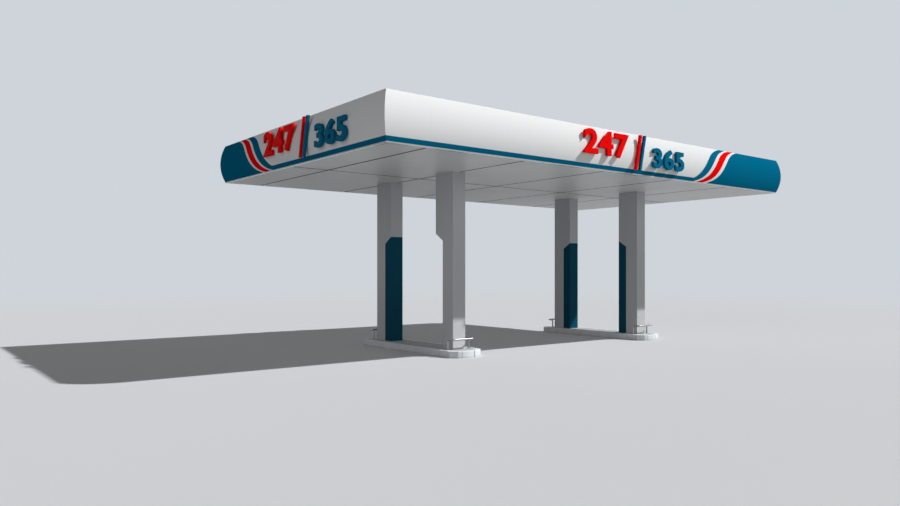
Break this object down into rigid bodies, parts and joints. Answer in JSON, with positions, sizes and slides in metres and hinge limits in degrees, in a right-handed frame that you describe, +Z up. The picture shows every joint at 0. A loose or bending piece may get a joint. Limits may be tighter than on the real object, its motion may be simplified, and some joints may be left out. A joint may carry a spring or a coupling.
{
  "type": "filling station canopy",
  "caption": "Flat forecourt canopy with a curved fascia on steel girders, carried by clad columns that stand on kerbed islands with bent tube guards.",
  "frame": {"origin": "on the ground at the middle of the plan, halfway between the two islands", "axes": "+X along the longer side of the roof, +Y from the front fascia to the back one, +Z up"},
  "size_m": [16, 9.07, 6.023],
  "materials": {
    "kerb_concrete": "pale cast concrete kerb, weathered",
    "deck_concrete": "pale trowelled concrete",
    "guard_tube": "dull galvanised tube",
    "primed_steel": "matt grey primer",
    "galvanised_steel": "dull galvanised steel",
    "column_grey": "satin light grey coated sheet",
    "insert_teal": "satin teal coated sheet",
    "soffit_sheet": "satin pale grey coated sheet",
    "pale_trim": "satin pale coated sheet",
    "fascia_paint": "glossy white coated sheet with teal and red film bands",
    "roof_sheet": "coated ribbed steel sheet, dusty",
    "pipe_grey": "grey rainwater pipe"
  },
  "bodies": {
    "root": {"island_left_kerb": "kerb_concrete", "island_left_deck": "deck_concrete", "island_right_kerb": "kerb_concrete", "island_right_deck": "deck_concrete", "guard_left_front": "guard_tube", "guard_left_back": "guard_tube", "guard_right_front": "guard_tube", "guard_right_back": "guard_tube", "post_left_front": "primed_steel", "post_left_back": "primed_steel", "post_right_front": "primed_steel", "post_right_back": "primed_steel", "cladding_left_front": "column_grey", "cladding_left_back": "column_grey", "cladding_right_front": "column_grey", "cladding_right_back": "column_grey", "insert_left_back": "insert_teal", "insert_right_front": "insert_teal", "insert_right_back": "insert_teal", "girder_front": "primed_steel", "girder_back": "primed_steel", "cross_beams": "primed_steel", "purlins": "galvanised_steel", "soffit_rails": "galvanised_steel", "soffit_bay_1": "soffit_sheet", "soffit_bay_2": "soffit_sheet", "soffit_bay_3": "soffit_sheet", "soffit_bay_4": "soffit_sheet", "soffit_bay_5": "soffit_sheet", "soffit_strip": "soffit_sheet", "drip_trim": "pale_trim", "frame_front": "galvanised_steel", "frame_back": "galvanised_steel", "frame_left": "galvanised_steel", "frame_right": "galvanised_steel", "fascia_front": "fascia_paint", "fascia_back": "fascia_paint", "fascia_left": "fascia_paint", "fascia_right": "fascia_paint", "cap_flashing": "pale_trim", "deck_front": "roof_sheet", "deck_back": "roof_sheet", "gutter": "roof_sheet", "downpipe_left": "pipe_grey", "downpipe_right": "pipe_grey"}
  },
  "joints": []
}
